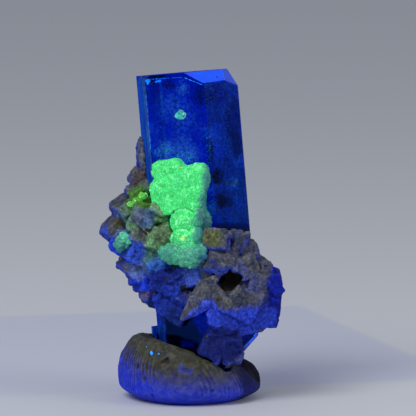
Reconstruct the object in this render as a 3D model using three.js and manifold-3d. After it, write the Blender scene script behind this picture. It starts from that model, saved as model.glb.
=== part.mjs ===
// A hand specimen of aquamarine: one six-sided beryl prism that grew through a mass of blocky feldspar,
// with crusts and globes of hyalite opal on its front, standing in a lump of mounting putty.
// Millimetres, +Z up, the viewer in front at -Y. The origin is the middle of the specimen's outline on
// the surface that it stands on.
import * as THREE from "three";
import { ConvexGeometry } from "three/addons/geometries/ConvexGeometry.js";
import { mergeVertices } from "three/addons/utils/BufferGeometryUtils.js";
import Module from "manifold-3d";

const wasm = await Module();
wasm.setup();

// Driving dimensions of the prism. Each side is [length, the way it faces in degrees from the front
// towards the right], and the six sides close.
const PRISM_SIDES = [
  [6.47, -22],
  [4.31, 38],
  [5.2, 98],
  [6.27, 158],
  [4.51, 218],
  [5.0, 278],
];
const PRISM_LENGTH = 30.6;
const PRISM_FOOT = [1.97, -1.85, 2.0];
const LEAN_LEFT = 4.8;
const LEAN_BACK = 3.5;
const GAP = 0.3;

// Driving dimensions of the putty.
const PUTTY_HALF_WIDTH = 6.9;
const PUTTY_HALF_DEPTH = 7.0;
const PUTTY_MIDDLE = [-0.3, -2.0];
const PUTTY_HEIGHT = 6.4;
const PUTTY_FALL = 4.6;

const radians = THREE.MathUtils.degToRad;

// A repeatable number from 0 to 1 for a pair of counts.
function chance(a, b) {
  const s = Math.sin(a * 127.1 + b * 311.7) * 43758.5453;
  return s - Math.floor(s);
}

// Solids and geometry

function solid(geometry) {
  const bare = geometry.index ? geometry.toNonIndexed() : geometry.clone();
  bare.deleteAttribute("normal");
  bare.deleteAttribute("uv");
  const merged = mergeVertices(bare, 1e-4);
  return new wasm.Manifold(
    new wasm.Mesh({
      numProp: 3,
      vertProperties: merged.attributes.position.array,
      triVerts: new Uint32Array(merged.index.array),
    }),
  );
}

function geometry(made) {
  const mesh = made.getMesh();
  return new THREE.BufferGeometry()
    .setAttribute("position", new THREE.BufferAttribute(mesh.vertProperties, 3))
    .setIndex(new THREE.BufferAttribute(mesh.triVerts, 1))
    .toNonIndexed();
}

const join = (solids) => solids.reduce((a, b) => a.add(b));

// The largest body of a cut solid: chips that the cut leaves behind are dropped.
function largest(made) {
  return made.decompose().sort((a, b) => b.volume() - a.volume())[0];
}

function hull(points, matrix) {
  const shape = new ConvexGeometry(points.map((p) => p.clone()));
  return solid(matrix ? shape.applyMatrix4(matrix) : shape);
}

function placed(at, turn) {
  const euler = new THREE.Euler(...turn.map(radians), "ZYX");
  const turned = new THREE.Matrix4().makeRotationFromEuler(euler);
  return new THREE.Matrix4().makeTranslation(...at).multiply(turned);
}

// The prism's own frame: its foot on the axis, the axis upwards.
const prismFrame = new THREE.Matrix4()
  .makeTranslation(...PRISM_FOOT)
  .multiply(new THREE.Matrix4().makeRotationY(radians(-LEAN_LEFT)))
  .multiply(new THREE.Matrix4().makeRotationX(radians(-LEAN_BACK)));

// The corners of the prism's outline, about its middle. The first two bound the broad front face.
const prismCorners = (() => {
  const corners = [new THREE.Vector2()];
  for (const [length, facing] of PRISM_SIDES.slice(0, -1)) {
    const step = new THREE.Vector2(Math.cos(radians(facing)), Math.sin(radians(facing)));
    corners.push(corners.at(-1).clone().addScaledVector(step, length));
  }
  const box = new THREE.Box2().setFromPoints(corners);
  const middle = box.getCenter(new THREE.Vector2());
  return corners.map((c) => c.sub(middle));
})();

// Moves each side of the outline outwards by grow.
function grownCorners(grow) {
  return prismCorners.map((corner, i) => {
    const before = radians(PRISM_SIDES.at(i - 1)[1]);
    const after = radians(PRISM_SIDES[i][1]);
    const middle = (before + after) / 2 + (after < before ? Math.PI : 0);
    const reach = grow / Math.cos(radians(30));
    return new THREE.Vector2(
      corner.x + Math.sin(middle) * reach,
      corner.y - Math.cos(middle) * reach,
    );
  });
}

function prismBetween(low, high, grow = 0) {
  const points = grownCorners(grow).flatMap((c) => [
    new THREE.Vector3(c.x, c.y, low),
    new THREE.Vector3(c.x, c.y, high),
  ]);
  return hull(points);
}

// A half space is cut off in the prism's frame: through a point moved out by grow, along the normal.
function facet(made, through, normal, grow = 0) {
  const n = new THREE.Vector3(...normal).normalize();
  const reach = n.dot(new THREE.Vector3(...through)) + grow;
  return made.trimByPlane([-n.x, -n.y, -n.z], -reach);
}

// A point on the broad front face: across from its left edge, up from the foot, out from the face.
function onFront(across, up, out = 0) {
  const facing = radians(PRISM_SIDES[0][1]);
  const corner = prismCorners[0];
  return new THREE.Vector3(
    corner.x + Math.cos(facing) * across + Math.sin(facing) * out,
    corner.y + Math.sin(facing) * across - Math.cos(facing) * out,
    up,
  );
}

// The aquamarine

const [LEFT_EDGE, FRONT_EDGE, RIGHT_EDGE, BACK_RIGHT_EDGE, BACK_EDGE] = prismCorners;

// The prism with its broken foot: an oblique break at the right, edged by a narrow bright facet, and
// a smaller break at the back left.
function brokenPrism(high, grow = 0) {
  const made = prismBetween(-grow, high, grow);
  const breaks = [
    [[RIGHT_EDGE.x, RIGHT_EDGE.y, 4.0], [0.66, 0.04, -0.75]],
    [[RIGHT_EDGE.x - 0.13, RIGHT_EDGE.y + 0.07, 4.05], [0.74, -0.5, -0.45]],
    [[BACK_EDGE.x, BACK_EDGE.y, 2.2], [-0.3, 0.75, -0.62]],
  ];
  return breaks.reduce((rest, [through, normal]) => facet(rest, through, normal, grow), made);
}

function aquamarine() {
  const top = PRISM_LENGTH;
  const facets = [
    // The bright facet above the right front face, the dark one at its right and the steep one that
    // ends the right edge.
    [[FRONT_EDGE.x, FRONT_EDGE.y, top - 1.2], [0.329, -0.468, 0.821]],
    [[RIGHT_EDGE.x, RIGHT_EDGE.y, top - 1.75], [0.63, -0.35, 0.693]],
    [[RIGHT_EDGE.x, RIGHT_EDGE.y, top - 1.75], [0.9, 0.05, 0.43]],
    // A chip at the left front corner, and the narrow face down the left front edge.
    [[LEFT_EDGE.x, LEFT_EDGE.y, top - 0.5], [-0.6, -0.57, 0.58]],
    [[LEFT_EDGE.x + 0.2, LEFT_EDGE.y, 0], [-0.82, -0.57, 0]],
    // Two small facets at the back.
    [[BACK_RIGHT_EDGE.x, BACK_RIGHT_EDGE.y, top - 0.7], [0.35, 0.38, 0.86]],
    [[BACK_EDGE.x, BACK_EDGE.y, top - 0.5], [-0.12, 0.5, 0.86]],
  ];
  const made = brokenPrism(top);
  return facets.reduce((rest, [through, normal]) => facet(rest, through, normal), made)
    .add(parallelGrowth());
}

// A short prism that grew beside the foot of the large one, at its back left.
function parallelGrowth(grow = 0) {
  const share = 0.22 + grow / 5;
  const points = prismCorners.flatMap((c) => [
    new THREE.Vector3(c.x * share - 4.55, c.y * share + 2.2, 1.2 - grow),
    new THREE.Vector3(c.x * share - 4.55, c.y * share + 2.2, 5.4 + grow),
  ]);
  return hull(points);
}

// What the crystal and the gap around it take out of the pieces that hold it.
const crystalSeat = () => {
  const made = brokenPrism(PRISM_LENGTH, GAP).add(parallelGrowth(GAP));
  return made.transform(prismFrame.elements);
};

// The feldspar

// A blocky crystal or lump: a box whose corners are cut back by unlike amounts. grow moves every
// face out, for the seat that another piece is cut by.
function block({ at, size, turn, cut = 0.24 }, seed, grow = 0) {
  const half = size.map((s) => s / 2);
  const points = [];
  for (let corner = 0; corner < 8; corner++) {
    const sign = [corner & 1, corner & 2, corner & 4].map((bit) => (bit ? 1 : -1));
    for (let along = 0; along < 3; along++) {
      const p = half.map((h, i) => {
        const back = i === along ? cut * (0.35 + 1.3 * chance(seed, corner * 3 + along)) : 0;
        return sign[i] * (h * (1 - 2 * back) + grow);
      });
      points.push(new THREE.Vector3(...p));
    }
  }
  return hull(points, placed(at, turn));
}

// The thin blade across the front of the right cluster, by its corners: the pointed end and the
// upper left edge, the right end, the narrow face along the lower edge and the back.
const BLADE_CORNERS = [
  [-1.1, -8.1, 8.6],
  [-0.9, -8.0, 9.3],
  [-0.2, -7.8, 10.8],
  [0.8, -7.4, 12.45],
  [3.0, -7.2, 13.15],
  [3.2, -7.6, 10.65],
  [1.5, -8.1, 10.3],
  [-1.05, -7.7, 8.4],
  [0.45, -7.7, 9.0],
  [1.5, -7.6, 9.85],
  [2.7, -7.2, 10.25],
  [-0.2, -5.8, 9.7],
  [1.3, -5.8, 11.7],
  [3.0, -5.8, 12.2],
];

// A crystal given by its corners. grow moves them out along each axis, as it does for a block.
function cornered(corners, grow) {
  const shifts = grow ? [-grow, grow] : [0];
  const points = corners.flatMap(([x, y, z]) =>
    shifts.flatMap((a) =>
      shifts.flatMap((b) => shifts.map((c) => new THREE.Vector3(x + a, y + b, z + c))),
    ),
  );
  return hull(points);
}

// Blocks of the left cluster, from its top down, then the middle, the right and the back.
const LEFT_BLOCKS = [
  { at: [-4.7, -1.2, 25.0], size: [1.0, 1.5, 1.7], turn: [10, 14, 30] },
  { at: [-4.7, -1.7, 23.6], size: [1.1, 1.6, 1.7], turn: [0, -15, 15] },
  { at: [-5.1, -1.4, 21.9], size: [1.6, 2.0, 1.7], turn: [15, 30, 40] },
  { at: [-4.9, -2.3, 20.5], size: [2.4, 2.6, 2.3], turn: [12, -38, 8] },
  { at: [-6.3, -2.0, 18.9], size: [2.5, 3.2, 2.3], turn: [8, -34, 18] },
  { at: [-7.2, -1.2, 16.7], size: [2.7, 3.4, 2.6], turn: [-6, 42, 14] },
  { at: [-4.9, -3.8, 17.8], size: [2.3, 2.4, 2.3], turn: [14, 34, -12] },
  { at: [-3.4, -4.6, 16.1], size: [2.0, 2.0, 2.1], turn: [-10, 24, 14], cut: 0.3 },
  { at: [-6.6, -2.5, 15.7], size: [2.3, 2.6, 2.4], turn: [6, 34, -8] },
  { at: [-5.1, -3.5, 14.8], size: [2.6, 2.2, 2.2], turn: [4, 22, 12] },
  { at: [-5.9, -2.4, 13.4], size: [1.9, 2.8, 2.1], turn: [4, 38, 12] },
  { at: [-4.5, -2.5, 11.8], size: [1.9, 2.4, 2.3], turn: [-8, 12, 28] },
  { at: [-4.3, -3.0, 10.5], size: [1.3, 1.5, 1.2], turn: [20, 10, 35] },
  { at: [-3.5, -4.3, 13.5], size: [2.2, 2.0, 2.0], turn: [16, -20, 24] },
];
const MIDDLE_BLOCKS = [
  { at: [-2.7, -4.5, 12.2], size: [2.0, 2.2, 2.4], turn: [8, 24, -20] },
  { at: [-1.5, -5.0, 11.6], size: [2.3, 2.2, 2.3], turn: [-14, -18, -30] },
  { at: [-0.2, -5.3, 12.5], size: [2.7, 2.2, 2.3], turn: [-12, -24, -18] },
  { at: [1.4, -5.7, 13.6], size: [2.0, 2.2, 2.4], turn: [10, 16, -14] },
  { at: [-2.4, -4.2, 9.8], size: [2.1, 1.9, 2.4], turn: [4, -18, -24] },
  { at: [-1.3, -4.8, 8.9], size: [2.0, 1.8, 1.9], turn: [10, 30, -20] },
  { corners: BLADE_CORNERS },
];
const RIGHT_BLOCKS = [
  { at: [2.5, -6.3, 16.2], size: [2.0, 2.0, 2.2], turn: [4, -4, 18] },
  { at: [4.3, -5.2, 16.1], size: [1.5, 2.4, 2.0], turn: [8, 20, 34] },
  { at: [5.3, -4.4, 15.0], size: [1.9, 2.6, 1.9], turn: [-6, -16, 20] },
  { at: [3.0, -6.5, 14.2], size: [2.6, 2.2, 2.0], turn: [10, 16, -12] },
  { at: [5.0, -5.9, 13.5], size: [2.5, 2.6, 2.2], turn: [-8, -20, 22] },
  { at: [6.9, -4.0, 12.5], size: [2.4, 3.8, 2.4], turn: [4, 22, 24] },
  { at: [6.5, -4.5, 10.4], size: [3.4, 4.6, 5.2], turn: [2, 5, 18], cut: 0.14 },
  { at: [4.6, -6.7, 10.1], size: [3.6, 2.8, 3.0], turn: [-6, 26, 10], cut: 0.2 },
  { at: [3.2, -7.2, 10.3], size: [2.0, 1.6, 2.6], turn: [8, -30, -6] },
  { at: [2.5, -7.0, 8.9], size: [1.5, 1.5, 1.7], turn: [-8, -36, 4] },
  { at: [5.5, -5.9, 8.3], size: [3.4, 2.4, 2.0], turn: [12, -10, 16] },
  { at: [3.2, -6.7, 8.2], size: [2.7, 2.2, 2.0], turn: [10, -14, -6] },
  { at: [3.6, -6.6, 6.9], size: [2.0, 1.6, 1.8], turn: [6, 18, 20] },
  { at: [2.1, -6.9, 5.9], size: [2.2, 1.6, 2.6], turn: [-6, 24, 4], cut: 0.26 },
  { at: [3.7, -6.7, 5.6], size: [2.2, 1.7, 2.5], turn: [8, -16, 24], cut: 0.26 },
];
const BACK_BLOCKS = [
  { at: [6.3, -0.9, 11.6], size: [3.2, 3.8, 3.8], turn: [12, -18, 20] },
  { at: [5.5, 2.2, 10.8], size: [3.4, 3.8, 4.4], turn: [-10, 14, 36] },
  { at: [5.2, 1.2, 13.1], size: [2.0, 2.6, 2.2], turn: [20, 10, 12] },
  { at: [2.6, 4.3, 12.4], size: [4.2, 2.8, 4.6], turn: [16, -12, 8] },
  { at: [0.2, 4.6, 9.6], size: [3.8, 2.6, 3.8], turn: [-14, 22, -10] },
  { at: [-0.9, 4.7, 14.2], size: [3.2, 2.6, 3.4], turn: [10, 32, 16] },
  { at: [-3.4, 3.4, 12.0], size: [3.4, 3.6, 4.2], turn: [6, -16, -30] },
  { at: [-3.9, 2.7, 16.4], size: [3.0, 3.0, 3.2], turn: [-12, 26, 20] },
  { at: [-5.0, 0.9, 13.7], size: [2.7, 3.4, 3.6], turn: [14, 12, -14] },
  { at: [-5.9, 0.8, 17.5], size: [2.6, 3.0, 2.8], turn: [8, -28, 32] },
  { at: [-4.8, 1.5, 19.7], size: [2.0, 2.2, 2.4], turn: [18, 16, 6] },
  { at: [-3.4, 0.4, 10.4], size: [2.2, 3.2, 2.8], turn: [-6, 18, 14] },
  { at: [4.6, 1.9, 8.2], size: [3.0, 3.0, 2.8], turn: [22, -10, -16] },
];

// A small crystal that sits on a block, near one of its front corners.
function chip(b, seed) {
  const side = seed % 2 ? 1 : -1;
  const spot = new THREE.Vector3(-0.25 * side * b.size[0], -0.375 * b.size[1], 0.25 * b.size[2]);
  const off = spot.applyMatrix4(placed([0, 0, 0], b.turn));
  const share = 0.34 + 0.16 * chance(seed, 40);
  return {
    at: [b.at[0] + off.x, b.at[1] + off.y, b.at[2] + off.z],
    size: b.size.map((s) => Math.max(0.6, s * share)),
    turn: b.turn.map((t, k) => t + 70 * (chance(seed, 50 + k) - 0.5)),
    cut: 0,
  };
}

const FRONT_BLOCKS = [...LEFT_BLOCKS, ...MIDDLE_BLOCKS, ...RIGHT_BLOCKS];
const CHIPS = FRONT_BLOCKS.flatMap((b, i) => (b.corners || b.size[0] < 2 ? [] : [chip(b, i + 1)]));
const ALL_BLOCKS = [...FRONT_BLOCKS, ...BACK_BLOCKS, ...CHIPS];

// The dark pocket in the right cluster, and smaller ones that part neighbouring blocks.
const POCKETS = [
  { at: [3.75, -8.0, 12.35], size: [1.7, 3.4, 2.4], turn: [6, 42, 4] },
  { at: [2.35, -8.2, 12.7], size: [1.1, 1.6, 0.6], turn: [0, -12, 0] },
  { at: [-5.0, -5.3, 16.9], size: [1.6, 1.4, 0.7], turn: [0, 38, 0] },
];

const feldsparGrown = (grow) =>
  join(ALL_BLOCKS.map((b, i) => (b.corners ? cornered(b.corners, grow) : block(b, i + 1, grow))));

function feldspar() {
  const pockets = join(POCKETS.map((b, i) => block(b, i + 60)));
  return largest(feldsparGrown(0).subtract(crystalSeat()).subtract(pockets));
}

// The hyalite

// A rounded lump: a faceted ball pressed to three half axes.
function lump(matrix, axes, detail) {
  const ball = new THREE.IcosahedronGeometry(1, detail);
  return solid(ball.scale(...axes).applyMatrix4(matrix));
}

// The crust's outline on the broad front face: [across from the face's left edge, up from the foot].
const CRUST_OUTLINE = [
  [0.8, 21.8],
  [1.4, 22.1],
  [2.2, 22.1],
  [3.3, 22.2],
  [3.9, 21.5],
  [4.5, 21.3],
  [5.3, 21.6],
  [6.0, 21.5],
  [6.4, 21.0],
  [6.4, 19.8],
  [5.9, 18.6],
  [5.7, 17.3],
  [4.9, 17.3],
  [4.0, 16.9],
  [2.9, 16.8],
  [1.6, 16.8],
  [1.0, 17.4],
  [0.5, 17.8],
  [0.35, 18.6],
  [0.3, 19.6],
  [0.9, 20.4],
];
const CRUST_DEPTH = 1.5;
// Low lumps over it: [across, up, half width, half height, half depth].
const CRUST_LUMPS = [
  [1.5, 21.1, 0.85, 0.85, 0.45],
  [2.9, 21.3, 0.9, 0.8, 0.5],
  [1.3, 19.4, 1.0, 1.0, 0.55],
  [2.9, 19.7, 1.2, 1.1, 0.75],
  [4.7, 20.2, 1.2, 0.9, 0.6],
  [5.7, 20.3, 0.8, 0.9, 0.5],
  [5.2, 18.7, 1.0, 0.9, 0.6],
  [3.7, 18.1, 1.1, 0.9, 0.65],
  [2.0, 17.8, 1.0, 0.8, 0.55],
];
// Globes and the flat dome under the crust: [middle, half axes].
const GLOBES = [
  [[-0.8, -5.9, 18.05], [1.3, 1.2, 1.3], 2],
  [[0.7, -5.6, 18.6], [0.9, 1.2, 1.5]],
  [[1.5, -5.5, 18.0], [0.75, 0.9, 1.3]],
  [[-1.0, -6.4, 16.4], [1.15, 1.1, 1.15]],
  [[0.3, -6.4, 16.6], [1.0, 0.9, 1.1]],
  [[-0.8, -6.3, 15.0], [2.55, 1.3, 1.2]],
  [[-0.2, -6.9, 14.9], [1.5, 1.3, 1.25]],
  [[1.0, -6.8, 15.1], [1.0, 1.1, 1.0]],
];
const UPPER_PATCH = [
  [[-6.1, -4.0, 19.6], [0.7, 0.6, 0.45]],
  [[-5.5, -4.1, 19.9], [0.6, 0.6, 0.6]],
  [[-4.9, -4.2, 20.5], [0.6, 0.6, 0.55]],
];
const LEFT_PATCH = [
  [[-6.6, -4.2, 16.3], [0.8, 0.8, 0.6]],
  [[-7.1, -4.0, 15.8], [0.5, 0.8, 0.9]],
  [[-6.2, -4.3, 15.9], [0.6, 0.7, 0.45]],
];

const lumps = (list) =>
  join(list.map(([at, axes, detail = 1]) => lump(placed(at, [0, 0, 0]), axes, detail)));

// The broad front face's own frame: across, up and out of the face.
const faceFrame = (() => {
  const across = onFront(1, 0).sub(onFront(0, 0));
  const up = new THREE.Vector3(0, 0, 1);
  const out = onFront(0, 0, 1).sub(onFront(0, 0));
  return new THREE.Matrix4().makeBasis(across, up, out).setPosition(onFront(0, 0));
})();

function crust(taken) {
  const outline = new THREE.Shape(CRUST_OUTLINE.map((p) => new THREE.Vector2(...p)));
  const slab = new THREE.ExtrudeGeometry(outline, {
    depth: CRUST_DEPTH - 0.45,
    bevelThickness: 0.45,
    bevelSize: 0.3,
    bevelOffset: -0.3,
    bevelSegments: 2,
  });
  const low = CRUST_LUMPS.map(([across, up, wide, high, deep]) => {
    const at = new THREE.Matrix4().makeTranslation(across, up, CRUST_DEPTH - 0.25);
    return lump(at, [wide, high, deep], 1);
  });
  const onFace = join([solid(slab), ...low]).transform(faceFrame.elements);
  return largest(onFace.transform(prismFrame.elements).add(lumps(GLOBES)).subtract(taken));
}

// The small lozenge of hyalite on the prism's front, which follows the face.
function lozenge() {
  const middle = [3.9, 26.5];
  const outline = [
    [-0.6, -0.05],
    [-0.05, 0.5],
    [0.5, 0.05],
    [0.4, -0.3],
    [0.0, -0.5],
    [-0.35, -0.4],
  ];
  const points = outline.flatMap(([across, up]) => [
    onFront(middle[0] + across, middle[1] + up, GAP),
    onFront(middle[0] + across * 0.72, middle[1] + up * 0.72, GAP + 0.22),
  ]);
  return hull(points).transform(prismFrame.elements);
}

// The putty

// How far the putty reaches at an angle anticlockwise from the right, as a share of its half width.
function puttyReach(angle) {
  return 1 + 0.03 * Math.cos(2 * angle + 0.6) + 0.03 * Math.cos(3 * angle - 1.1);
}

// How high the putty's rim stands: high at the left, low at the right, and less low at the back right.
function rimHeight(x, y) {
  const across = THREE.MathUtils.clamp((x + 4.5) / 14, 0, 1);
  const fall = 0.5 - 0.5 * Math.cos(Math.PI * across);
  const back = THREE.MathUtils.smoothstep(y, -2, 3);
  return PUTTY_HEIGHT - PUTTY_FALL * fall + (2.9 * fall - 0.5) * back;
}

// The putty is a pressed ball: a stack of rings from the flat foot, over the rim, to the middle.
function putty(taken) {
  const around = 44;
  const rings = [
    [0.0, 0.0],
    [0.84, 0.0],
    [0.92, 0.035],
    [0.975, 0.15],
    [1.0, 0.32],
    [0.99, 0.5],
    [0.96, 0.68],
    [0.89, 0.84],
    [0.81, 0.95],
    [0.7, 1.0],
    [0.5, 0.94],
    [0.25, 0.85],
    [0.0, 0.82],
  ];
  const profile = rings.map(([out, up]) => new THREE.Vector2(out, up));
  const shape = new THREE.LatheGeometry(profile, around);
  shape.rotateX(Math.PI / 2);
  const position = shape.getAttribute("position");
  for (let i = 0; i < position.count; i++) {
    const [x, y, z] = [position.getX(i), position.getY(i), position.getZ(i)];
    // The crest of the rim lies further out at the front.
    const out = Math.max(Math.hypot(x, y), 1e-6);
    const front = Math.max(0, -y / out);
    const crest = 1 + (0.12 * front * Math.sin(Math.PI * out)) / out;
    const reach = out > 1e-6 ? puttyReach(Math.atan2(y, x)) * crest : 1;
    const wide = PUTTY_MIDDLE[0] + x * reach * PUTTY_HALF_WIDTH;
    const deep = PUTTY_MIDDLE[1] + y * reach * PUTTY_HALF_DEPTH;
    position.setXYZ(i, wide, deep, z * rimHeight(wide, deep));
  }
  return largest(solid(shape).subtract(taken));
}

// Materials, in the colours that the specimen has under ultraviolet light

const stone = (color, roughness) =>
  new THREE.MeshStandardMaterial({ color, roughness, metalness: 0 });
const BERYL = new THREE.MeshStandardMaterial({
  color: 0x0a2f9c,
  roughness: 0.05,
  metalness: 0,
  transparent: true,
  opacity: 0.7,
});
const FELDSPAR = stone(0x56586a, 0.75);
const HYALITE = stone(0x55e98a, 0.2);
const PUTTY = stone(0x46474f, 0.85);

// The specimen

const specimen = new THREE.Group();
function addPiece(name, made, material) {
  const mesh = new THREE.Mesh(geometry(made), material);
  mesh.name = name;
  specimen.add(mesh);
}

const beryl = aquamarine().transform(prismFrame.elements);
const taken = crystalSeat().add(feldsparGrown(GAP));
addPiece("aquamarine_crystal", beryl, BERYL);
addPiece("feldspar_matrix", feldspar(), FELDSPAR);
addPiece("hyalite_crust", crust(taken), HYALITE);
addPiece("hyalite_upper_patch", largest(lumps(UPPER_PATCH).subtract(taken)), HYALITE);
addPiece("hyalite_left_patch", largest(lumps(LEFT_PATCH).subtract(taken)), HYALITE);
addPiece("hyalite_lozenge", lozenge(), HYALITE);
addPiece("mounting_putty", putty(taken), PUTTY);

const outline = new THREE.Box3().setFromObject(specimen);
const middle = outline.getCenter(new THREE.Vector3());
specimen.position.set(-middle.x, -middle.y, -outline.min.z);

export default specimen;
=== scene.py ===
# A hand specimen of aquamarine: a blue beryl prism in blocky feldspar, with green hyalite crusts,
# standing in pressed mounting putty. The shapes are worked in millimetres and finished in metres.
import math

import bmesh
import bpy
from mathutils import Matrix, Vector, noise
from mathutils.bvhtree import BVHTree


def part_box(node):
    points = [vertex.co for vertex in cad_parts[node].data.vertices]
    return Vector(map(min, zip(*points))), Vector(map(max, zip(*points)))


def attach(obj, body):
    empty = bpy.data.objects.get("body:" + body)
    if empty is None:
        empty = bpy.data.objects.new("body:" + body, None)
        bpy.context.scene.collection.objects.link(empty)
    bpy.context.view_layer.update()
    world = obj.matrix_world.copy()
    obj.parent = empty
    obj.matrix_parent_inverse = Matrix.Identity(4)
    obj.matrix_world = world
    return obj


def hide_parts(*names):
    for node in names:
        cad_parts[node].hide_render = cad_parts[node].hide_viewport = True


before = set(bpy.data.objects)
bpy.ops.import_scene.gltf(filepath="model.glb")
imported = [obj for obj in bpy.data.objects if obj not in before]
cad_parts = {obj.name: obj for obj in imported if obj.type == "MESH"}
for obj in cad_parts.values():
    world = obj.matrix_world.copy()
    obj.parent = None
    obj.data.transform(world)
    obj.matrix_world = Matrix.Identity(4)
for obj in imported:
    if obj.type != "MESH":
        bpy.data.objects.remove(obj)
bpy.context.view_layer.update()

MM = 0.001


def millimetres(box):
    return [corner / MM for corner in box]


def middle(box):
    return (box[0] + box[1]) / 2


CRUST = millimetres(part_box("hyalite_crust"))
LUMP = millimetres(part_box("mounting_putty"))

# The photograph's view: 10 pixels to a millimetre, seen a little from above.
FRAME_PIXELS = 416
PIXELS_PER_MM = 10
VIEW_DISTANCE = 400
VIEW_ELEVATION = 6
VIEW_RIGHT_OF_LUMP = 1.83
VIEW_BEHIND_LUMP = 2.17
VIEW_HEIGHT = 18.82

# The prism's lean, as in the solid.
LEAN_LEFT = 4.8
LEAN_BACK = 3.5
LEAN = Matrix.Rotation(math.radians(-LEAN_LEFT), 3, "Y") @ Matrix.Rotation(
    math.radians(-LEAN_BACK), 3, "X"
)


def camera_place():
    """Where the camera stands, and its right, up and back directions, in millimetres."""
    lump = middle(LUMP)
    target = Vector((lump.x + VIEW_RIGHT_OF_LUMP, lump.y + VIEW_BEHIND_LUMP, VIEW_HEIGHT))
    tilt = math.radians(VIEW_ELEVATION)
    back = Vector((0, -math.cos(tilt), math.sin(tilt)))
    up = Vector((0, math.sin(tilt), math.cos(tilt)))
    return target + back * VIEW_DISTANCE, Vector((1, 0, 0)), up, back


def seen(shape, right, down):
    """The point of a shape, and its direction there, at a place in the photograph or nearest to it."""
    start, across, up, back = camera_place()
    half = FRAME_PIXELS / 2
    aim = (right - half) / PIXELS_PER_MM * across + (half - down) / PIXELS_PER_MM * up
    along = (aim - back * VIEW_DISTANCE).normalized()
    place, normal, _, _ = shape.ray_cast(start, along)
    if place is None:
        place, normal, _, _ = shape.find_nearest(start + along * VIEW_DISTANCE)
    return place, normal


# Repeatable chance
def chance(*counts):
    """A repeatable number from 0 to 1 for any counts."""
    total = sum(c * w for c, w in zip(counts, (127.1, 311.7, 74.7, 269.5)))
    return math.sin(total) * 43758.5453 % 1.0


def between(low, high, *counts):
    return low + (high - low) * chance(*counts)


def smooth_step(value, low, high):
    t = min(max((value - low) / (high - low), 0.0), 1.0)
    return t * t * (3 - 2 * t)


def close_to(place, centre, reach):
    """1 at the centre, falling to 0 at reach millimetres from it."""
    return 1 - smooth_step((place - centre).length, 0.0, reach)


# Mesh helpers
def node_copy(node):
    """A CAD node's mesh in millimetres, with its loose triangles merged."""
    made = bmesh.new()
    made.from_mesh(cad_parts[node].data)
    bmesh.ops.scale(made, vec=Vector((1, 1, 1)) / MM, verts=made.verts)
    bmesh.ops.remove_doubles(made, verts=made.verts, dist=0.002)
    bmesh.ops.recalc_face_normals(made, faces=made.faces)
    return made


def shape_of(node):
    """A CAD node's shape, to be asked what is seen of it."""
    made = node_copy(node)
    tree = BVHTree.FromBMesh(made)
    made.free()
    return tree


def remeshed(rough, voxel):
    """The shape as one even skin of small quads."""
    mesh = bpy.data.meshes.new("rough")
    rough.to_mesh(mesh)
    rough.free()
    piece = bpy.data.objects.new("rough", mesh)
    bpy.context.scene.collection.objects.link(piece)
    modifier = piece.modifiers.new("skin", "REMESH")
    modifier.mode = "VOXEL"
    modifier.voxel_size = voxel
    made = bmesh.new()
    made.from_object(piece, bpy.context.evaluated_depsgraph_get())
    bpy.data.objects.remove(piece)
    bpy.data.meshes.remove(mesh)
    return made


def smoothed(made, times, factor=0.5):
    for _ in range(times):
        bmesh.ops.smooth_vert(
            made, verts=made.verts, factor=factor, use_axis_x=True, use_axis_y=True, use_axis_z=True
        )
    made.normal_update()


def pushed(made, height):
    """Moves each vertex along its normal by the height that its place and normal give."""
    made.normal_update()
    moves = [(v, v.normal * height(v.co, v.normal)) for v in made.verts]
    for vertex, move in moves:
        vertex.co += move
    made.normal_update()


def softened(made, times):
    """Each vertex's direction on the smoothed shape, and how far it stands out from that."""
    kept = [v.co.copy() for v in made.verts]
    smoothed(made, times)
    ways = [v.normal.copy() for v in made.verts]
    stands = [(place - v.co).dot(v.normal) for place, v in zip(kept, made.verts)]
    for vertex, place in zip(made.verts, kept):
        vertex.co = place
    made.normal_update()
    return ways, stands


def finished(name, made, material, nodes=(), smooth=True, values=None):
    """Makes the object in metres, rides it on the specimen and hides the nodes it stands for."""
    for face in made.faces:
        face.smooth = smooth
    mesh = bpy.data.meshes.new(name)
    made.to_mesh(mesh)
    made.free()
    mesh.transform(Matrix.Scale(MM, 4))
    mesh.materials.append(material)
    for key, numbers in (values or {}).items():
        layer = mesh.attributes.new(key, "FLOAT", "POINT")
        layer.data.foreach_set("value", numbers)
    piece = bpy.data.objects.new(name, mesh)
    bpy.context.scene.collection.objects.link(piece)
    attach(piece, "root")
    if nodes:
        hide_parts(*nodes)
    return piece


# Material helpers
def srgb(red, green, blue):
    """A colour as a screen shows it, 0 to 255, as the linear colour that a shader takes."""

    def linear(value):
        share = value / 255
        return share / 12.92 if share <= 0.04045 else ((share + 0.055) / 1.055) ** 2.4

    return (linear(red), linear(green), linear(blue), 1.0)


def add_node(tree, kind, inputs=(), **settings):
    made = tree.nodes.new(kind)
    for key, value in settings.items():
        setattr(made, key, value)
    for key, value in dict(inputs).items():
        if isinstance(value, bpy.types.NodeSocket):
            tree.links.new(value, made.inputs[key])
        else:
            made.inputs[key].default_value = value
    return made


def new_material(name):
    material = bpy.data.materials.new(name)
    material.use_nodes = True
    shader = material.node_tree.nodes["Principled BSDF"]
    return material, material.node_tree, shader


def places(tree):
    return add_node(tree, "ShaderNodeTexCoord").outputs["Object"]


def stored(tree, key):
    """A value that the piece's own vertices hold."""
    return add_node(tree, "ShaderNodeAttribute", attribute_name=key).outputs["Fac"]


def grain(tree, where, size, detail=4.0, roughness=0.55):
    """A noise value whose features are about size millimetres across."""
    inputs = {
        "Vector": where,
        "Scale": 1 / (size * MM),
        "Detail": detail,
        "Roughness": roughness,
    }
    return add_node(tree, "ShaderNodeTexNoise", inputs).outputs["Fac"]


def cells(tree, where, size, output="Distance"):
    """Small cells about size millimetres across: the distance from each one's middle, or its colour."""
    inputs = {"Vector": where, "Scale": 1 / (size * MM)}
    return add_node(tree, "ShaderNodeTexVoronoi", inputs).outputs[output]


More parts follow.
